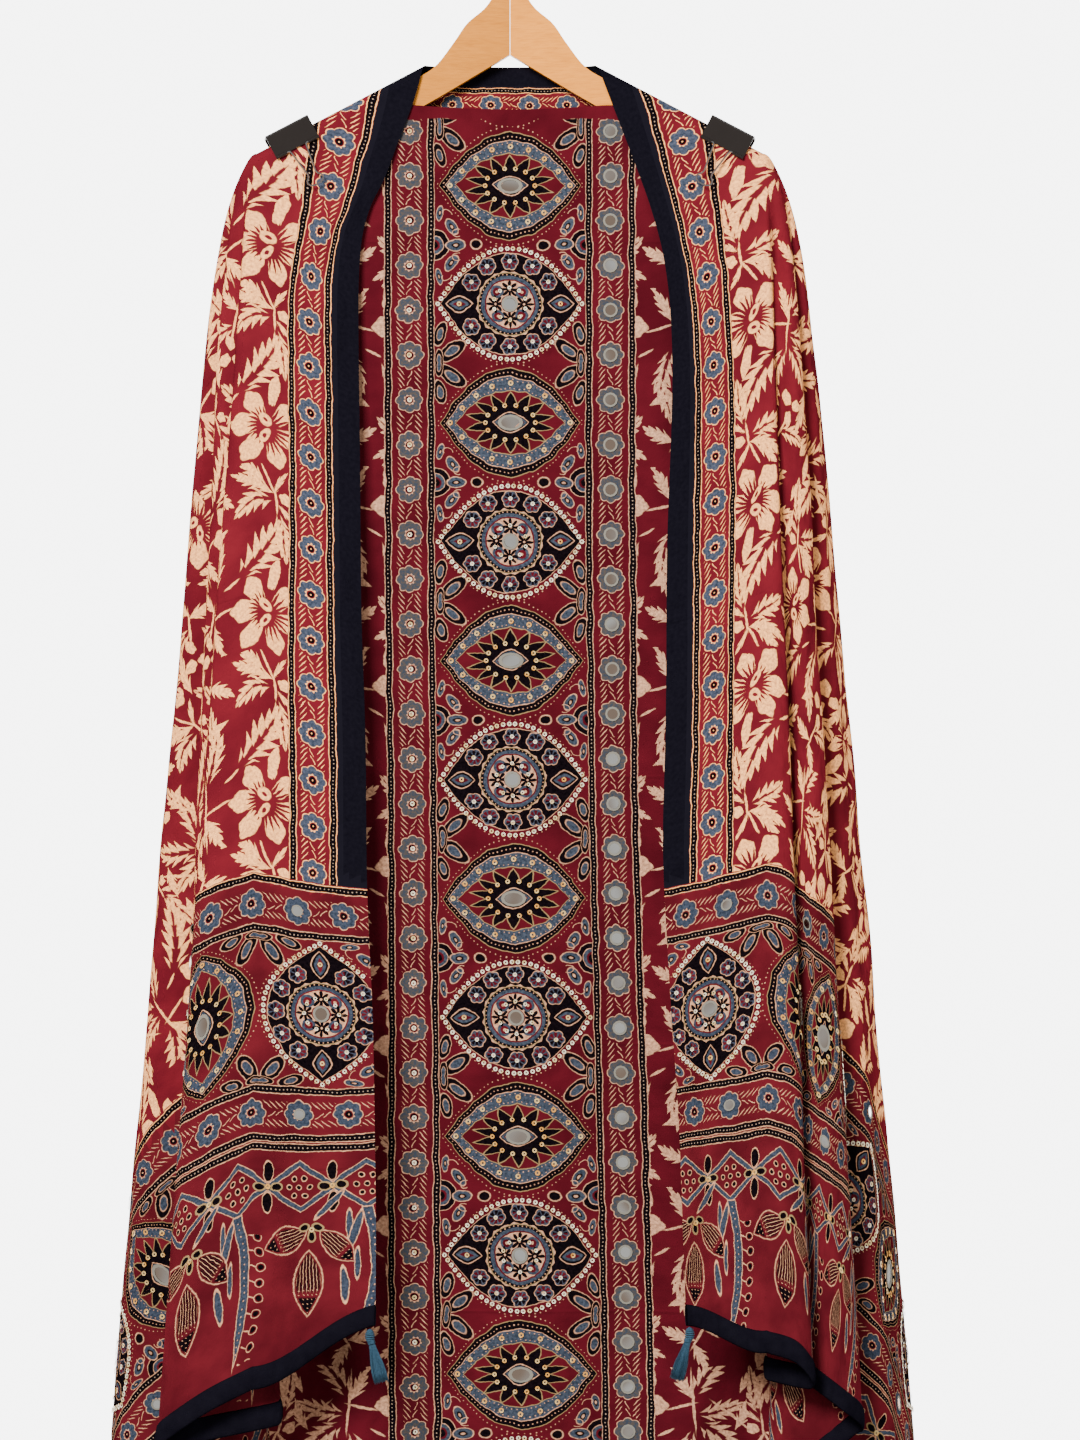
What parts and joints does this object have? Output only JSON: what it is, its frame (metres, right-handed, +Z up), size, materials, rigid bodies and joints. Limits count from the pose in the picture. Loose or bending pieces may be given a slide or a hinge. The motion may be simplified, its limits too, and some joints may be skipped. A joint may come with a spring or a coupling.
{
  "type": "printed shawl and embroidered cloth panel clipped to a wooden clothes hanger",
  "caption": "Long printed shawl hung like a cape from a contoured wooden hanger, with an embroidered mirror-work panel inside it, both held by spring clips",
  "frame": {"origin": "the top of the inside of the hook, where it rests on a rail", "axes": "+Z up, the front of the cloths faces -Y, +X to the right as seen from the front"},
  "size_m": [0.6961, 0.2395, 1.5047],
  "materials": {
    "hook_wire": "bright plated wire",
    "hanger_wood_left": "clear lacquered beech",
    "hanger_wood_right": "clear lacquered beech",
    "shawl_cloth": "soft satin cotton, block printed in red, cream, blue and black",
    "hem_band_left": "gathered navy binding",
    "hem_band_right": "gathered navy binding",
    "panel_cloth": "cotton, block printed and embroidered with mirrors and sequins",
    "tassel_left": "teal thread",
    "tassel_right": "teal thread",
    "clip_left_body": "black coated spring steel",
    "clip_right_body": "black coated spring steel",
    "clip_left_handle_front": "bright plated wire",
    "clip_left_handle_back": "bright plated wire",
    "clip_right_handle_front": "bright plated wire",
    "clip_right_handle_back": "bright plated wire"
  },
  "bodies": {
    "root": {"hanger_hook": "hook_wire", "hanger_arm_left": "hanger_wood_left", "hanger_arm_right": "hanger_wood_right", "shawl": "shawl_cloth", "hem_band_left": "hem_band_left", "hem_band_right": "hem_band_right", "panel": "panel_cloth", "tassel_left": "tassel_left", "tassel_right": "tassel_right", "clip_left_body": "clip_left_body", "clip_right_body": "clip_right_body", "clip_left_handle_front": "clip_left_handle_front", "clip_left_handle_back": "clip_left_handle_back", "clip_right_handle_front": "clip_right_handle_front", "clip_right_handle_back": "clip_right_handle_back"}
  },
  "joints": []
}
